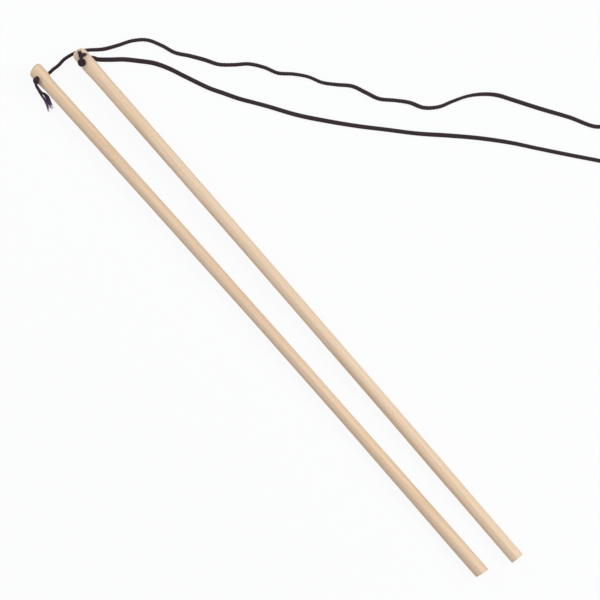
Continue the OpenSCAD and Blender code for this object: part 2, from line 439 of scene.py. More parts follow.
def plait_pattern(cord):
    """Relief from 0 to 1 of the plait, and the place across a strand.

    Both come from the turn round the cord and the way along it, which the mesh holds.
    """
    place = cord.attribute("plait", "Vector")
    turn = cord.part(place, "X")
    along = cord.part(place, "Y")
    a = cord.times(cord.plus(turn, along), STRANDS_EACH_WAY)
    b = cord.times(cord.minus(turn, along), STRANDS_EACH_WAY)
    in_a = cord.math("FRACT", a)
    in_b = cord.math("FRACT", b)
    square = cord.plus(cord.math("FLOOR", a), cord.math("FLOOR", b))
    under = cord.math("FLOORED_MODULO", square, 2.0)
    lift = cord.minus(STRAND_LIFT, cord.times(under, 2 * STRAND_LIFT))

    def strand(across, length, lift):
        half_circle = cord.math("SQRT", cord.times(across, cord.minus(1.0, across)))
        wave = cord.math("SINE", cord.times(length, math.pi))
        return cord.plus(cord.times(half_circle, 2.0), cord.times(wave, lift))

    high_a = strand(in_a, in_b, lift)
    high_b = strand(in_b, in_a, cord.times(lift, -1.0))
    relief = cord.math("DIVIDE", cord.math("MAXIMUM", high_a, high_b), STRAND_TOP)
    a_on_top = cord.math("GREATER_THAN", high_a, high_b)
    return relief, cord.plus(in_b, cord.times(a_on_top, cord.minus(in_a, in_b)))


def cord_material():
    """Black braided yarn: filaments along each strand, with painted shade in the gaps between strands."""
    cord = Shader("black_braid")
    place = cord.place()
    relief, across = plait_pattern(cord)
    filament = cord.math("SINE", cord.times(across, FILAMENTS * 2 * math.pi))
    fuzz = cord.noise(place, BRAID_FUZZ_SCALE, detail=3.0)
    worn = cord.noise(place, BRAID_WORN_SCALE, detail=2.0)
    # Painted shade: the colour darkens where the plait's relief dips between strands
    colour = cord.mix(cord.step(relief, low=0.35, high=0.95), BRAID_GAP_SHADE, BRAID_CREST)
    colour = cord.mix(cord.step(fuzz, low=0.5, high=0.8, to_high=BRAID_FUZZ_SHARE), colour, BRAID_FUZZ)
    colour = cord.mix(cord.step(worn, low=0.45, high=0.75, to_high=BRAID_WORN_SHARE), colour, BRAID_WORN)
    height = cord.plus(cord.times(relief, BRAID_HEIGHTS.strand), cord.times(filament, BRAID_HEIGHTS.filament))
    height = cord.plus(height, cord.times(fuzz, BRAID_HEIGHTS.fuzz))
    rough = cord.step(fuzz, low=0.3, high=0.7, to_low=YARN_GLOSS.smoothest, to_high=YARN_GLOSS.roughest)
    cord.set(Base_Color=colour, Roughness=rough, Specular_IOR_Level=YARN_GLOSS.specular,
             Normal=cord.bump(height, BRAID_RELIEF, strength=0.8),
             Sheen_Weight=0.25, Sheen_Roughness=0.5, Sheen_Tint=BRAID_SHEEN)
    return cord.material


def yarn_material():
    """Loose yarn of the frayed ends, faded to purple where it opens out."""
    yarn = Shader("frayed_yarn")
    fuzz = yarn.noise(yarn.place(), YARN_FUZZ_SCALE, detail=3.0)
    faded = yarn.step(yarn.attribute("fray", "Fac"), low=0.38, high=0.8)
    colour = yarn.mix(faded, YARN_BLACK, YARN_FADED)
    colour = yarn.mix(yarn.step(fuzz, low=0.45, high=0.8, to_high=YARN_FUZZ_SHARE), colour, YARN_FUZZ)
    rough = yarn.step(fuzz, low=0.3, high=0.7, to_low=YARN_GLOSS.smoothest, to_high=YARN_GLOSS.roughest)
    yarn.set(Base_Color=colour, Roughness=rough, Specular_IOR_Level=YARN_GLOSS.specular,
             Normal=yarn.bump(fuzz, YARN_RELIEF, strength=0.5), Sheen_Weight=0.2)
    return yarn.material


def tie_material():
    """Thin black plastic over a wire, scuffed and a little uneven."""
    tie = Shader("tie_plastic")
    place = tie.place()
    grain = tie.noise(place, TIE_GRAIN_SCALE, detail=4.0)
    scuff = tie.step(tie.noise(place, TIE_SCUFF_SCALE, detail=3.0), low=0.52, high=0.7)
    colour = tie.mix(tie.times(scuff, TIE_SCUFF_SHARE), TIE_BLACK, TIE_SCUFF)
    rough = tie.step(grain, low=0.3, high=0.7, to_low=TIE_GLOSS.smoothest, to_high=TIE_GLOSS.roughest)
    tie.set(Base_Color=colour, Roughness=rough, Normal=tie.bump(grain, TIE_RELIEF, strength=0.3))
    return tie.material


black_braid = cord_material()
frayed_yarn = yarn_material()


# Cord: one length from the left hole, along the surface, through the coil and back to the right hole

CORD_D = 2.4 * MM
CORD_R = CORD_D / 2
CORD_STEP = 0.35 * MM
CORD_SIDES = 20
# The way along the cord in which a strand goes once round it, and the relief as a share of the radius
PLAIT = 3.2 * CORD_D
RELIEF = 0.14
MEAN_RELIEF = 0.6
FLOOR_GAP = 0.05 * MM
FLOOR_Z = CORD_R * (1 + RELIEF * (1 - MEAN_RELIEF)) + FLOOR_GAP
# How far into the hole the cord starts, where it leaves the stick, and its straight run before the bend
IN_HOLE = 0.5 * MM
EXIT_GAP = 0.3 * MM
EXIT_RUN = 0.4 * MM
BEND_STEPS = 6
# Which way each end heads when it comes down on the surface, in degrees from +X
HEADING = {"left": 3.0, "right": -65.0}

# Points of the free stretches in millimetres, counted from the middle between the holes.
# They lie on the surface, and a third number lifts a point off it.
LEFT_POINTS = [
    [-1, 4.4], [4, 4.8], [10, 3.8], [14.5, 2.2], [18.5, -0.6], [25.5, -6], [33.5, -10], [41.5, -13.5],
    [48.5, -19], [53, -27.5], [56, -35.5], [61.5, -43], [66.5, -50.5], [71, -58], [77.5, -64],
    [84.5, -69.5], [90, -77], [94, -85], [100.5, -91.5], [106, -98.5], [110, -106.5], [115.5, -113],
    [122, -120], [125.5, -128], [129, -136], [135.5, -143], [141, -149.5], [145.5, -157.5],
    [152.5, -163], [161, -166], [169.5, -169.5], [177, -174.5], [183, -180.5], [188, -188.5], [197, -203.5],
    [206.5, -218.5], [215.5, -234], [224.5, -238.5, 0.2]]
RIGHT_POINTS = [
    [24, -13], [30.5, -18.5], [37, -25.5], [42.5, -32], [47, -40], [50.5, -48.5], [54, -57], [57.5, -65],
    [62, -73], [66.5, -81], [71.5, -88.5], [76.5, -96], [86, -111], [97, -125.5], [108.5, -139.5],
    [120.5, -153], [132.5, -166.5], [145.5, -179.5], [158, -192.5], [170, -206.5], [180.5, -220.5],
    [191.5, -235], [203.5, -250.5], [208, -256.5, 0.4], [212.5, -262.5, 1.7]]

# The coil that holds the spare length: a flat spiral in, a climb, and a spiral out on top
COIL_TURNS = 9.6
COIL_RADIUS = 19.0 * MM
COIL_PITCH = CORD_D + 0.45 * MM
COIL_Z = 1.9 * MM
COIL_END = np.array([220.0, -273.0]) * MM
COIL_END_ANGLE = math.radians(216)
CLIMB_TURNS = 0.5
POINTS_PER_TURN = 24

route_middle = (left.hole + right.hole)[:2] / 2
coil_end_way = np.array([math.cos(COIL_END_ANGLE), math.sin(COIL_END_ANGLE)])
coil_middle = route_middle + COIL_END - COIL_RADIUS * coil_end_way


def lead_points(side, points):
    """One free stretch: out of the hole, round a bend onto the surface, and along it."""
    exit_height = side.radius + EXIT_GAP
    start = on_bore(side, -exit_height - EXIT_RUN)
    down = -side.bore
    heading = math.radians(HEADING[side.name])
    flat = np.array([math.cos(heading), math.sin(heading), 0.0])
    turn = math.acos(down @ flat)
    radius = (FLOOR_Z - start[2]) / down[2] / math.tan(turn / 2)
    inward = unit(flat - (down @ flat) * down)
    angles = [turn * k / BEND_STEPS for k in range(BEND_STEPS + 1)]
    bend = [start + radius * (math.sin(t) * down + (1 - math.cos(t)) * inward) for t in angles]
    laid = [[*(route_middle + np.array(p[:2]) * MM), FLOOR_Z + sum(p[2:]) * MM] for p in points]
    return [on_bore(side, IN_HOLE - side.radius), on_bore(side, -exit_height), *bend, *laid]


def coil_points():
    """The coil's turns from the outside in and out again, with a short straight run at each end."""
    t = np.arange(round(COIL_TURNS * POINTS_PER_TURN) + 1) / POINTS_PER_TURN
    inward = np.where(t < COIL_TURNS / 2, t, COIL_TURNS - t)
    radius = COIL_RADIUS - COIL_PITCH * inward
    height = COIL_Z + COIL_PITCH * smooth((t - COIL_TURNS / 2) / CLIMB_TURNS + 0.5)
    angle = COIL_END_ANGLE + 2 * np.pi * (COIL_TURNS - t)
    x = coil_middle[0] + radius * np.cos(angle)
    y = coil_middle[1] + radius * np.sin(angle)
    spiral = np.column_stack([x, y, height])
    before = spiral[0] - CORD_D * unit(spiral[1] - spiral[0])
    after = spiral[-1] + CORD_D * unit(spiral[-1] - spiral[-2])
    return [before, *spiral, after]


def braid_relief(path):
    """Relief from 0 to 1 of an eight-strand plait at each point of the cord's mesh."""
    along = distances(path)[:, None] / PLAIT
    turn = np.arange(CORD_SIDES)[None, :] / CORD_SIDES
    a = STRANDS_EACH_WAY * (turn + along)
    b = STRANDS_EACH_WAY * (turn - along)
    over = 1 - 2 * ((np.floor(a) + np.floor(b)) % 2)
    in_a = a % 1
    in_b = b % 1
    height_a = np.sqrt(1 - (2 * in_a - 1) ** 2) + STRAND_LIFT * over * np.sin(np.pi * in_b)
    height_b = np.sqrt(1 - (2 * in_b - 1) ** 2) - STRAND_LIFT * over * np.sin(np.pi * in_a)
    return np.maximum(height_a, height_b) / STRAND_TOP


def add_plait(piece, path):
    """Stores the turn round the cord and the way along it on the corners of its faces."""
    along = distances(path) / PLAIT
    side = np.arange(CORD_SIDES)
    corners = np.zeros((len(path) - 1, CORD_SIDES, 4, 3))
    corners[..., 0] = np.stack([side, side + 1, side + 1, side], axis=1) / CORD_SIDES
    corners[..., 1] = np.stack([along[:-1], along[:-1], along[1:], along[1:]], axis=1)[:, None, :]
    caps = np.zeros((2 * CORD_SIDES, 3))
    values = np.vstack([corners.reshape(-1, 3), caps])
    attribute = piece.data.attributes.new("plait", "FLOAT_VECTOR", "CORNER")
    attribute.data.foreach_set("vector", values.astype(np.float32).ravel())


def add_braided(name, path, radius, body, nodes, wide=1.0, tall=1.0):
    """A length of braided cord whose radius is one number or one per point of its path."""
    swell = np.asarray(radius).reshape(-1, 1) * (1 + RELIEF * (braid_relief(path) - MEAN_RELIEF))
    points, faces = tube(path, swell, CORD_SIDES, wide, tall)
    piece = add_piece(name, points, faces, black_braid, body, nodes)
    add_plait(piece, path)
    return piece


# The limp cord lies flatter in some places than in others. Each pair is the distance from the hole in
# millimetres and the width there, compared with the round cord.
LEFT_WIDTHS = [
    (0, 0.86), (28, 0.82), (42, 0.97), (56, 0.88), (80, 0.92), (102, 1.04), (118, 0.93), (150, 0.91),
    (168, 0.83), (202, 1.02), (222, 0.93), (234, 1.04), (264, 0.78), (284, 1.06), (310, 1.08), (340, 1.0)]
RIGHT_WIDTHS = [
    (0, 1.1), (20, 1.18), (42, 1.2), (56, 1.12), (92, 1.1), (108, 1.05), (142, 1.13), (170, 1.07),
    (200, 1.04), (216, 1.11), (250, 1.07), (270, 0.98), (300, 1.0)]
TALLEST = 1.06


def flattened(path):
    """The path set down on the surface again, and how wide and how tall the cord is along it."""
    from_left = distances(path) / MM
    from_right = from_left[-1] - from_left
    wide = np.interp(from_left, *zip(*LEFT_WIDTHS)) * np.interp(from_right, *zip(*RIGHT_WIDTHS))
    tall = np.minimum(1 / wide, TALLEST)
    lowered = path.copy()
    lowered[:, 2] += (tall - 1) * CORD_R
    return lowered, wide, tall


cord_route = [*lead_points(left, LEFT_POINTS), *coil_points(), *lead_points(right, RIGHT_POINTS)[::-1]]
cord_path, cord_wide, cord_tall = flattened(even_path(cord_route, CORD_STEP))
cord = add_braided("braided_cord", cord_path, CORD_R, "cord", ["left_lead", "cord_coil", "right_lead"],
                   cord_wide, cord_tall)


# Knots: the cord rises out of the hole, bends over, goes once round itself and comes up through that turn

# Thickness of the cord where it is drawn tight, and half its thickness in the hole
KNOT_D = {"left": 1.4 * MM, "right": 1.5 * MM}
KNOT_CORE_R = 1.2 * MM
KNOT_STEP = 0.2 * MM
SEAT_GAP = 0.05 * MM
# How far each knot sits from its hole: along the stick, and across it to the right
KNOT_SHIFT = {"left": (1.2 * MM, -1.1 * MM), "right": (0.15 * MM, -0.25 * MM)}
# How much each knot is drawn together along the stick, and where its first turn starts
KNOT_SQUEEZE = {"left": 0.85, "right": 1.0}
KNOT_START = {"left": math.radians(-82), "right": math.radians(72)}
# Height of the knot, and how far its rising parts and its turn lie from its axis, in thicknesses
KNOT_RISE = 0.9
KNOT_CORE = 0.4
KNOT_WRAP = 1.15
# Turns made while the cord rises and comes up, and the turn round itself, in whole turns
KNOT_TWIST = 0.33
WRAP_START = KNOT_TWIST + 0.12
WRAP_TURNS = 0.93
UP_START = 1.5
# Heights of the turn's start and of the way up, as shares of the knot's rise
WRAP_TOP = 0.85
UP_LOW = 0.1
UP_RISE = 0.95
CORE_POINTS = 10
RISE_POINTS = 9
WRAP_POINTS = 18
# The stretch in the hole: how far it starts past the cord's own end, and its top in stick radii
CORE_GAP = 0.2 * MM
CORE_TOP = 0.9
# Where the cord is drawn tight above the stick's axis, and over which height, in stick radii
TIGHT_FROM = 0.8
TIGHT_OVER = 0.4
# The neck loosens to the radius of a bunch of yarn, and ends in a taper between the yarns
BUNCH_R = {"left": 0.92 * MM, "right": 1.1 * MM}
NECK_OPENS = 1.8
NECK_TAPER = 0.5
NECK_TAPER_LENGTH = 2.2 * MM


def knot_path(side, neck):
    """The centreline of an overhand knot on its hole, up to its neck, and the cord's radius along it."""
    away = np.cross(side.along, side.bore)
    thick = KNOT_D[side.name]
    seat = side.radius + SEAT_GAP + thick / 2
    shift = np.array(KNOT_SHIFT[side.name])

    def at(r, turns, rise):
        """A point by its distance from the knot's axis, its turn, and its share of the rise."""
        angle = KNOT_START[side.name] + 2 * math.pi * turns
        height = seat + rise * KNOT_RISE * thick
        p, q = r * thick * np.array([math.cos(angle), math.sin(angle)])
        p, q = np.array([p * KNOT_SQUEEZE[side.name], q]) + shift
        fall = side.radius - math.sqrt(side.radius ** 2 - min(abs(q), side.radius) ** 2)
        return side.hole + p * side.along + q * away + (height - fall * (1 - rise)) * side.bore

    heights = np.linspace(IN_HOLE + CORE_GAP - side.radius, CORE_TOP * side.radius, CORE_POINTS)
    core = [on_bore(side, h) + hole_shift(side, h) * side.along for h in heights]
    steps = np.linspace(0, 1, RISE_POINTS)
    rising = [at(KNOT_CORE, KNOT_TWIST * t, t) for t in steps[1:]]
    around = [at(KNOT_WRAP, WRAP_START + WRAP_TURNS * t, WRAP_TOP - WRAP_TOP * t)
              for t in np.linspace(0, 1, WRAP_POINTS)]
    coming_up = [at(KNOT_CORE, UP_START + KNOT_TWIST * t, UP_LOW + UP_RISE * t) for t in steps]
    path = even_path([*core, *rising, *around, *coming_up, *neck], KNOT_STEP)

    height = (path - side.hole) @ side.bore
    tight = smooth((height - TIGHT_FROM * side.radius) / (TIGHT_OVER * side.radius))
    radius = KNOT_CORE_R + (thick / 2 - KNOT_CORE_R) * tight
    from_end = distances(path)[-1] - distances(path)
    loose = smooth(NECK_OPENS * (1 - from_end / np.linalg.norm(neck[-1] - coming_up[-1])))
    radius = radius + (BUNCH_R[side.name] - radius) * loose
    return path, radius * (1 - NECK_TAPER * smooth(1 - from_end / NECK_TAPER_LENGTH))


def add_knot(side, guides):
    """The knot on one hole. Its neck follows the middle of the two bunches that it frays into."""
    neck = [np.mean([guide[i] for guide in guides], axis=0) for i in (1, 2)]
    path, radius = knot_path(side, neck)
    return add_braided(f"{side.name}_stopper_knot", path, radius, f"{side.name}_stick",
                       [f"{side.name}_knot"])


# Frayed ends: two bunches of yarn that leave each knot

# Points of the left bunches in millimetres: outwards from the stick's left side, and along it from the
# hole. They fall from the knot to the surface in the first steps.
LEFT_BUNCHES = [
    [[0.7, 1], [1.9, -1.2], [2.5, -4.2], [3.1, -7.2], [3.4, -10.2], [4.1, -12.6], [5.3, -15], [6.7, -17.2]],
    [[0.2, 0.4], [1.4, -1.6], [1.9, -4.2], [1.8, -6.2], [1.2, -7.8], [1.4, -10], [2.1, -12.6], [2.8, -15],
     [3.4, -17.6]]]
FALL_STEPS = 5
# How high above its seat the left knot lets go of its bunches, in thicknesses of its cord
FALL_TOP = 1.2
# Points of the right bunches, which lie on the stick: the turn from its top towards the left in degrees,
# the place along it from the hole, and the lift off it in millimetres
RIGHT_BUNCHES = [
    [[17, 1.4, 1.6], [12, 2.6, 1], [5, 3.8, 0.5], [-2, 4.8, 0.1], [-7, 5.9, 0], [-8, 7.2, -0.2]],
    [[13, 1, 1.6], [6, 2.3, 0.9], [-2, 3.1, 0.4], [-11, 3.1, 0.1], [-21, 2.3, 0], [-30, 1.2, 0]]]
# How wide a bunch is at its neck, how far it then opens, and how far the end of each bunch splays
NECK_OPEN = 0.6
OPEN = {"left": 0.2, "right": 0.4}
OPEN_BY = 0.25
SPLAY = {"left": (0.15, 0.75), "right": (0.35, 0.35)}
SPLAY_FROM = 0.4
SPLAY_OVER = 0.3
# How far each end fades, the least share of its bunch that a yarn runs along, and its random seed
FADE = {"left": 1.0, "right": 0.6}
SHORTEST = {"left": 0.8, "right": 0.66}
SEED = {"left": 5, "right": 11}
YARNS = 30
GOLDEN_ANGLE = math.pi * (3 - math.sqrt(5))
YARN_R = 0.17 * MM
YARN_SIDES = 5
YARN_STEP = 0.4 * MM
YARN_TWIST = 2.2
FEWEST_POINTS = 6
# A yarn strays from its place in the bunch, waves a little, and thins out at its end
STRAY_ANGLE = 0.15
WAVE = 0.12 * MM
WAVE_ANGLE = 9
WAVE_START = 6
THIN_FROM = 0.75
THIN_BY = 0.7


def left_bunch(side, points):
    """The line of a bunch that falls from the knot to the surface beside the stick."""
    top = on_bore(side, side.radius + SEAT_GAP + FALL_TOP * KNOT_D[side.name])[2]
    low = BUNCH_R[side.name] + FLOOR_GAP
    line = []
    for i, (out, along) in enumerate(points):
        z = top + (low - top) * smooth(i / FALL_STEPS)
        line.append([side.hole[0] - side.radius - out * MM, side.hole[1] + along * MM, z])
    return np.array(line)


def right_bunch(side, points):
    """The line of a bunch that lies on its stick."""
    local = []
    for turn, along, lift in points:
        r = side.radius + SEAT_GAP + BUNCH_R[side.name] + lift * MM
        turn = math.radians(turn)
        local.append([-r * math.sin(turn), side.hole_y + along * MM, r * math.cos(turn)])
    return on_stick(side, local)


def clear_of(side, path, radius):
    """Moves points out of the stick and up off the surface."""
    path = path.copy()
    off_butt = path - side.butt
    along = np.clip(off_butt @ side.along, 0, side.length)
    off_axis = off_butt - along[:, None] * side.along
    far = np.linalg.norm(off_axis, axis=1, keepdims=True)
    least = side.radius + SEAT_GAP / 2 + radius[:, None]
    path += np.where(far < least, off_axis / np.maximum(far, TINY) * (least - far), 0.0)
    path[:, 2] = np.maximum(path[:, 2], radius + FLOOR_GAP)
    return path


def bunch_yarns(side, guide, splay, seed):
    """Yarns wound loosely round a guide, each with an end of its own, and how faded each point is."""
    chance = np.random.default_rng(seed)
    whole = even_path(guide, YARN_STEP)
    parts = []
    faded = []
    for i in range(YARNS):
        share = chance.uniform(SHORTEST[side.name], 1.0)
        path = whole[:max(FEWEST_POINTS, round(share * len(whole)))]
        first, second = frames_along(path)
        t = np.linspace(0, share, len(path))
        open_out = NECK_OPEN + OPEN[side.name] * smooth(t / OPEN_BY)
        open_out = open_out + splay * smooth((t - SPLAY_FROM) / SPLAY_OVER)
        offset = (BUNCH_R[side.name] - YARN_R) * math.sqrt((i + 0.5) / YARNS) * open_out
        angle = GOLDEN_ANGLE * i + YARN_TWIST * t + chance.normal(0, STRAY_ANGLE)
        size = WAVE * chance.normal(0, 1, 2)[:, None]
        wave = size * np.sin(WAVE_ANGLE * t + chance.uniform(0, WAVE_START)) * t
        path = path + (offset * np.cos(angle) + wave[0])[:, None] * first
        path = path + (offset * np.sin(angle) + wave[1])[:, None] * second
        radius = YARN_R * (1 - THIN_BY * smooth((t / share - THIN_FROM) / (1 - THIN_FROM)))
        parts.append(tube(clear_of(side, path, radius), radius, YARN_SIDES))
        faded.append(np.repeat(FADE[side.name] * t, YARN_SIDES))
    return joined(parts), np.concatenate(faded)


def add_frayed_end(side, guides):
    """Both bunches of one end as a piece, which stores how faded its yarns are."""
    bunches = [bunch_yarns(side, guide[1:], SPLAY[side.name][i], SEED[side.name] + i)
               for i, guide in enumerate(guides)]
    points, faces = joined([mesh for mesh, _ in bunches])
    piece = add_piece(f"{side.name}_frayed_end", points, faces, frayed_yarn, f"{side.name}_stick",
                      [f"{side.name}_tail"])
    attribute = piece.data.attributes.new("fray", "FLOAT", "POINT")
    attribute.data.foreach_set("value", np.concatenate([faded for _, faded in bunches]).astype(np.float32))
    return piece


left_guides = [left_bunch(left, points) for points in LEFT_BUNCHES]
right_guides = [right_bunch(right, points) for points in RIGHT_BUNCHES]
knots = [add_knot(left, left_guides), add_knot(right, right_guides)]
frayed_ends = [add_frayed_end(left, left_guides), add_frayed_end(right, right_guides)]


# Sticks: dowels with a sanded dome at the tip, a sawn butt and a slight bow

STICK_SIDES = 64
STATION_STEP = 2.5 * MM
NEAR_HOLE = 4 * MM
NEAR_STEP = 0.5 * MM
# The butt: a ring inside its face as a share of its radius, and a bevel with a ring part of the way up
BUTT_INNER = 0.5
BUTT_BEVEL = 0.4 * MM
BEVEL_RING = 0.3
# The dome: its rings, and how much of its quarter turn they cover
DOME_RINGS = 12
DOME_REACH = 0.96
# How far from an end its slope dies out
END_SLOPE_LENGTH = 5 * MM
SHARP_ANGLE = math.radians(38)

# The hole: its outline as heights in stick radii, and how far it flares there in steps of the rim's flare
BORE_R = 1.4 * MM
BORE_SIDES = 40
BORE_HEIGHTS = [-2, -1.08, -1, -0.9, 0.9, 1, 1.08, 2]
BORE_FLARES = [1.6, 1.6, 1, 0, 0, 1, 1.6, 1.6]
RIM_FLARE = 0.2 * MM

# Each stick's shape. Widths are pairs of the place along it from its butt and the width, in millimetres,
# and a stick is no taller than the plain dowel where it is wider. Start and trim say how far the butt face
# and the tip lie inside the frame's stick. Slopes say how far an end leans towards the tip on its right,
# the bow is the middle's bend to the right, and the shift moves the butt and the tip to the right.
LEFT_SHAPE = SimpleNamespace(
    widths=[(0, 8.5), (20, 8.5), (70, 8.0), (120, 7.5), (210, 7.4), (260, 7.6), (386, 7.7), (393, 9.2),
            (397, 9.1), (400, 8.9)],
    start=-0.8 * MM, trim=0.0, dome=2.8 * MM, dome_power=2.4, tip_slope=0.2, butt_slope=-0.15,
    bow=1.05 * MM, shift=(0.2 * MM, 0.15 * MM))
RIGHT_SHAPE = SimpleNamespace(
    widths=[(0, 8.25), (45, 8.2), (70, 8.35), (110, 8.15), (280, 8.1), (376, 8.3), (387, 8.9), (393, 8.7),
            (400, 8.2)],
    start=0.8 * MM, trim=0.5 * MM, dome=3.2 * MM, dome_power=2.0, tip_slope=-0.04, butt_slope=-0.03,
    bow=0.6 * MM, shift=(-0.1 * MM, -0.2 * MM))

# Each stick's colours, and where its pith lies to the right and up from its axis
LEFT_WOOD = {
    "pale": (0.93, 0.725, 0.515, 1.0), "dark": (0.86, 0.645, 0.45, 1.0), "pith": (-24 * MM, -30 * MM)}
RIGHT_WOOD = {
    "pale": (0.96, 0.775, 0.565, 1.0), "dark": (0.89, 0.695, 0.50, 1.0), "pith": (30 * MM, -21 * MM)}


def radius_at(y, widths):
    """The stick's radius at places along it, with a soft start and end to each change of width."""
    at = y / MM
    places, values = np.array(widths, float).T
    i = np.clip(np.searchsorted(places, at) - 1, 0, len(places) - 2)
    share = smooth((at - places[i]) / (places[i + 1] - places[i]))
    return (values[i] + share * (values[i + 1] - values[i])) / 2 * MM


def stick_profile(side, shape, length):
    """(place along, radius) of the stick from its butt face to the middle of its tip."""
    start = shape.start
    butt_r = radius_at(0.0, shape.widths)
    ring = BEVEL_RING * BUTT_BEVEL
    profile = [(start, BUTT_INNER * butt_r), (start, butt_r - BUTT_BEVEL)]
    profile += [(start + ring, butt_r - ring), (start + BUTT_BEVEL, butt_r)]
    dome_start = length - shape.dome
    near_hole = np.arange(side.hole_y - NEAR_HOLE, dome_start - NEAR_STEP / 2, NEAR_STEP)
    stations = [*np.arange(STATION_STEP, near_hole[0] - NEAR_STEP, STATION_STEP), *near_hole]
    profile += [(y, radius_at(y, shape.widths)) for y in stations]
    tip_r = radius_at(dome_start, shape.widths)
    power = 2 / shape.dome_power
    for t in np.linspace(0, DOME_REACH, DOME_RINGS) * np.pi / 2:
        profile.append((dome_start + shape.dome * np.sin(t) ** power, tip_r * np.cos(t) ** power))
    return np.array(profile)


def stick_mesh(side, shape):
    """A dowel with sloping ends, bowed to the right, and shifted a little at its butt and its tip."""
    length = side.length - shape.trim
    profile = stick_profile(side, shape, length)
    angle = 2 * np.pi * np.arange(STICK_SIDES) / STICK_SIDES
    y = np.repeat(profile[:, :1], STICK_SIDES, axis=1)
    x = profile[:, 1:] * np.cos(angle)
    z = np.minimum(profile[:, 1:], side.radius) * np.sin(angle)
    near_tip = smooth((y - length + END_SLOPE_LENGTH) / END_SLOPE_LENGTH)
    near_butt = smooth(1 - (y - shape.start) / END_SLOPE_LENGTH)
    sloped = y + x * (shape.tip_slope * near_tip + shape.butt_slope * near_butt)
    bowed = x + shape.bow * np.sin(np.pi * np.clip(y / side.hole_y, 0, 1))
    at_butt, at_tip = shape.shift
    bowed = bowed + at_butt + (at_tip - at_butt) * y / length
    points = np.stack([bowed, sloped, z], axis=2).reshape(-1, 3)
    return points, ring_faces(len(profile), STICK_SIDES)


def drill(piece, side):
    """Cuts the hole across the tip, with softened rims."""
    heights = np.array(BORE_HEIGHTS) * side.radius
    path = heights[:, None] * (side.axes.T @ side.bore)
    path[:, 1] += side.hole_y + hole_shift(side, heights)
    points, faces = tube(path, BORE_R + np.array(BORE_FLARES) * RIM_FLARE, BORE_SIDES)
    mesh = bpy.data.meshes.new("drill")
    mesh.from_pydata(points.tolist(), [], faces)
    cutter = bpy.data.objects.new("drill", mesh)
    cutter.matrix_world = piece.matrix_world
    bpy.context.scene.collection.objects.link(cutter)
    cut = piece.modifiers.new("drill", "BOOLEAN")
    cut.operation = "DIFFERENCE"
    cut.solver = "EXACT"
    cut.object = cutter
    bpy.context.view_layer.update()
    seen = piece.evaluated_get(bpy.context.evaluated_depsgraph_get())
    drilled = bpy.data.meshes.new_from_object(seen)
    piece.modifiers.remove(cut)
    piece.data = drilled
    bpy.data.objects.remove(cutter)
    drilled.polygons.foreach_set("use_smooth", [True] * len(drilled.polygons))
    drilled.set_sharp_from_angle(angle=SHARP_ANGLE)


def add_dowel(side, shape, colours):
    """One drilled stick, modelled in its own frame and placed at its butt."""
    place = Matrix(np.column_stack([side.axes, side.butt]).tolist() + [[0, 0, 0, 1]])
    points, faces = stick_mesh(side, shape)
    piece = add_piece(f"{side.name}_dowel", points, faces, wood_material(side, **colours),
                      f"{side.name}_stick", [f"{side.name}_stick"], place)
    drill(piece, side)


add_dowel(left, LEFT_SHAPE, LEFT_WOOD)
add_dowel(right, RIGHT_SHAPE, RIGHT_WOOD)


# Twist tie round the coil: a flat plastic ribbon with a wire in it, its two ends twisted together

TIE_SIDE = math.radians(304)
TIE_STEP = 0.25 * MM
# The ribbon: flat, with thin edges and a low rib over its wire
TIE_WIDTH = 3.0 * MM
TIE_THICK = 0.32 * MM
TIE_EDGE = 0.15 * MM
TIE_RIB_HALF = 0.39 * MM
TIE_RIB_RISE = 0.12 * MM
TIE_RIB_POINTS = 7
# The loop: the room that it takes up round the coil, its gap to the cord, and its rounded corners
TIE_BAND = 0.6 * MM
TIE_GAP = 0.3 * MM
TIE_CORNER = 1.3 * MM
TIE_CORNER_POINTS = 7
# The twisted ends: where they start, how far they run and drop, and how they spread at the last
TIE_TAIL_START = 0.9 * MM
TIE_TAIL = 8.0 * MM
TIE_TAIL_DROP = 1.2 * MM
TIE_TAIL_TURNS = 2.25
TIE_TAIL_APART = 0.45 * MM
TIE_TAIL_SPREAD = 1.5
TIE_SPREAD_OVER = 0.2
TIE_TAIL_POINTS = 36


def tie_loop():
    """The ribbon's line in the plane across the coil (outwards, up), and the middle of its outer side."""
    inner = COIL_RADIUS - COIL_PITCH * COIL_TURNS / 2 - CORD_R - TIE_GAP - TIE_BAND / 2
    outer = COIL_RADIUS + CORD_R + TIE_GAP + TIE_BAND / 2
    low = TIE_BAND / 2 + FLOOR_GAP
    high = COIL_Z + COIL_PITCH + CORD_R + TIE_GAP + TIE_BAND / 2
    corners = [(outer, low, -90), (inner, low, 180), (inner, high, 90), (outer, high, 0)]
    line = []
    for x, z, end in corners:
        cx = x + (TIE_CORNER if x == inner else -TIE_CORNER)
        cz = z + (TIE_CORNER if z == low else -TIE_CORNER)
        for angle in np.radians(np.linspace(end + 90, end, TIE_CORNER_POINTS)):
            line.append((cx + TIE_CORNER * math.cos(angle), cz + TIE_CORNER * math.sin(angle)))
    return np.array(line), outer, (low + high) / 2


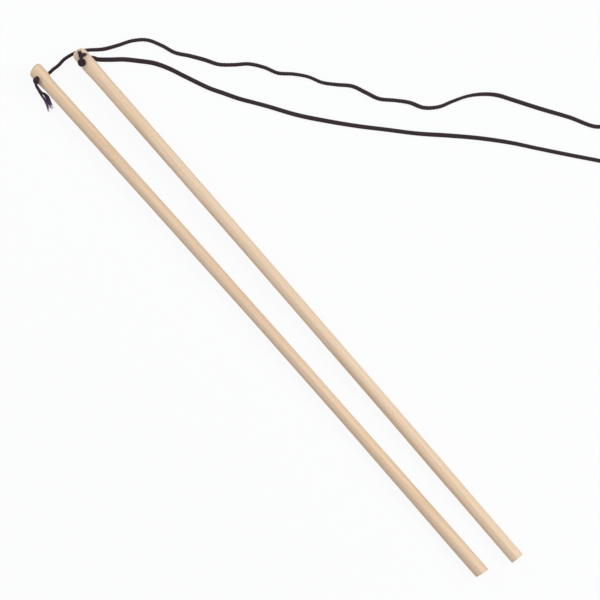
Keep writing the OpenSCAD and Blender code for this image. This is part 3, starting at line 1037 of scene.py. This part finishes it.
def tie_line():
    """Points and width directions of the whole ribbon in the tie's own frame (outwards, round, up)."""
    loop, outer, middle = tie_loop()
    t = np.linspace(0, 1, TIE_TAIL_POINTS)
    turn = 2 * np.pi * TIE_TAIL_TURNS * t
    spread = smooth((t - (1 - TIE_SPREAD_OVER)) / TIE_SPREAD_OVER)
    apart = TIE_TAIL_APART * (1 + TIE_TAIL_SPREAD * spread)
    out = outer + TIE_TAIL_START + TIE_TAIL * t
    rise = middle - TIE_TAIL_DROP * smooth(t)
    tails = [np.column_stack([out, -sign * apart * np.sin(turn), rise + sign * apart * np.cos(turn)])
             for sign in (-1, 1)]
    wide = np.column_stack([np.zeros_like(t), np.cos(turn), np.sin(turn)])
    ring = np.column_stack([loop[:, 0], np.zeros(len(loop)), loop[:, 1]])
    ring_wide = np.tile([0.0, 1.0, 0.0], (len(ring), 1))
    return np.vstack([tails[0][::-1], ring, tails[1]]), np.vstack([wide[::-1], ring_wide, wide])


def ribbon_profile():
    """(across, thick) outline of the ribbon, flat with a rounded rib over the wire."""
    half = TIE_WIDTH / 2
    face = TIE_THICK / 2
    rib = [(TIE_RIB_HALF * math.cos(a), face + TIE_RIB_RISE * math.sin(a))
           for a in np.radians(np.linspace(0, 180, TIE_RIB_POINTS))]
    top = [(half - TIE_EDGE, face), *rib, (-half + TIE_EDGE, face)]
    below = [(-x, -z) for x, z in top]
    return np.array([(half, 0.0), *top, (-half, 0.0), *below])


def add_tie():
    """The ribbon swept along its line, with its width turned as the line says."""
    points, wide = tie_line()
    along = distances(points)
    line = even_path(points, TIE_STEP)
    at = np.linspace(0, along[-1], len(line))
    wide = np.column_stack([np.interp(at, along, wide[:, i]) for i in range(3)])
    ways = unit(np.gradient(line, axis=0))
    wide = unit(wide - np.sum(wide * ways, axis=1, keepdims=True) * ways)
    thick = np.cross(wide, ways)
    profile = ribbon_profile()
    local = line[:, None] + profile[None, :, :1] * wide[:, None] + profile[None, :, 1:] * thick[:, None]
    out_x = math.cos(TIE_SIDE)
    out_y = math.sin(TIE_SIDE)
    turn = np.array([[out_x, -out_y, 0], [out_y, out_x, 0], [0, 0, 1]])
    placed = local.reshape(-1, 3) @ turn.T + np.array([*coil_middle, 0])
    return add_piece("twist_tie", placed, ring_faces(len(line), len(profile)), tie_material(), "cord",
                     ["coil_tie"])


tie = add_tie()


# Floor, light and background

FLOOR_SIZE = 6.0
FLOOR_PALE = (0.72, 0.72, 0.72, 1.0)
FLOOR_SHADED = (0.97, 0.97, 0.97, 1.0)
FLOOR_WHITE = (0.99, 0.995, 1.0, 1.0)
SHOWN_WHITE = 0.92
WORLD_WHITE = (1.0, 1.0, 1.0, 1.0)
AMBIENT = (0.47, 0.458, 0.478, 1.0)
KEY = SimpleNamespace(place=Vector((0.92, -0.42, 0.98)), size=0.7, power=8.9, colour=(1.0, 0.99, 0.95))
FILL = SimpleNamespace(place=Vector((-0.15, 0.8, 0.45)), size=0.4, power=1.3, colour=(0.97, 0.98, 1.0))


def floor_material():
    """White to the camera with a faint shadow, and a plain pale surface to every other ray."""
    floor = Shader("floor")
    seen = floor.add("LightPath", {}).outputs["Is Camera Ray"]
    pale = floor.add("BsdfDiffuse", {"Color": FLOOR_PALE}).outputs[0]
    shaded = floor.add("BsdfDiffuse", {"Color": FLOOR_SHADED}).outputs[0]
    white = floor.add("Emission", {"Color": FLOOR_WHITE, "Strength": 1.0}).outputs[0]
    shown = floor.add("MixShader", {0: SHOWN_WHITE, 1: shaded, 2: white}).outputs[0]
    both = floor.add("MixShader", {0: seen, 1: pale, 2: shown}).outputs[0]
    floor.put(floor.tree.nodes["Material Output"], "Surface", both)
    return floor.material


def make_floor():
    half = FLOOR_SIZE / 2
    corners = [(-half, -half, 0), (half, -half, 0), (half, half, 0), (-half, half, 0)]
    mesh = bpy.data.meshes.new("floor")
    mesh.from_pydata(corners, [], [(0, 1, 2, 3)])
    mesh.materials.append(floor_material())
    floor = bpy.data.objects.new("floor", mesh)
    bpy.context.scene.collection.objects.link(floor)


def make_light(name, lamp):
    """A square lamp that points at the origin."""
    data = bpy.data.lights.new(name, "AREA")
    data.size = lamp.size
    data.energy = lamp.power
    data.color = lamp.colour
    light = bpy.data.objects.new(name, data)
    light.location = lamp.place
    light.rotation_mode = "QUATERNION"
    light.rotation_quaternion = (-lamp.place).to_track_quat("-Z", "Y")
    bpy.context.scene.collection.objects.link(light)


def make_world():
    """Soft even light all round, and white where the camera or a reflection sees past the floor."""
    world = bpy.data.worlds.new("world")
    bpy.context.scene.world = world
    world.use_nodes = True
    tree = world.node_tree
    even = tree.nodes["Background"]
    even.inputs["Color"].default_value = AMBIENT
    white = tree.nodes.new("ShaderNodeBackground")
    white.inputs["Color"].default_value = WORLD_WHITE
    path = tree.nodes.new("ShaderNodeLightPath")
    seen = path.outputs["Is Camera Ray"]
    for kind in ("Is Glossy Ray", "Is Transmission Ray"):
        either = tree.nodes.new("ShaderNodeMath")
        either.operation = "MAXIMUM"
        tree.links.new(seen, either.inputs[0])
        tree.links.new(path.outputs[kind], either.inputs[1])
        seen = either.outputs[0]
    both = tree.nodes.new("ShaderNodeMixShader")
    tree.links.new(seen, both.inputs[0])
    tree.links.new(even.outputs[0], both.inputs[1])
    tree.links.new(white.outputs[0], both.inputs[2])
    tree.links.new(both.outputs[0], tree.nodes["World Output"].inputs["Surface"])


make_floor()
make_light("key", KEY)
make_light("fill", FILL)
make_world()
bpy.context.scene.view_settings.view_transform = "Standard"
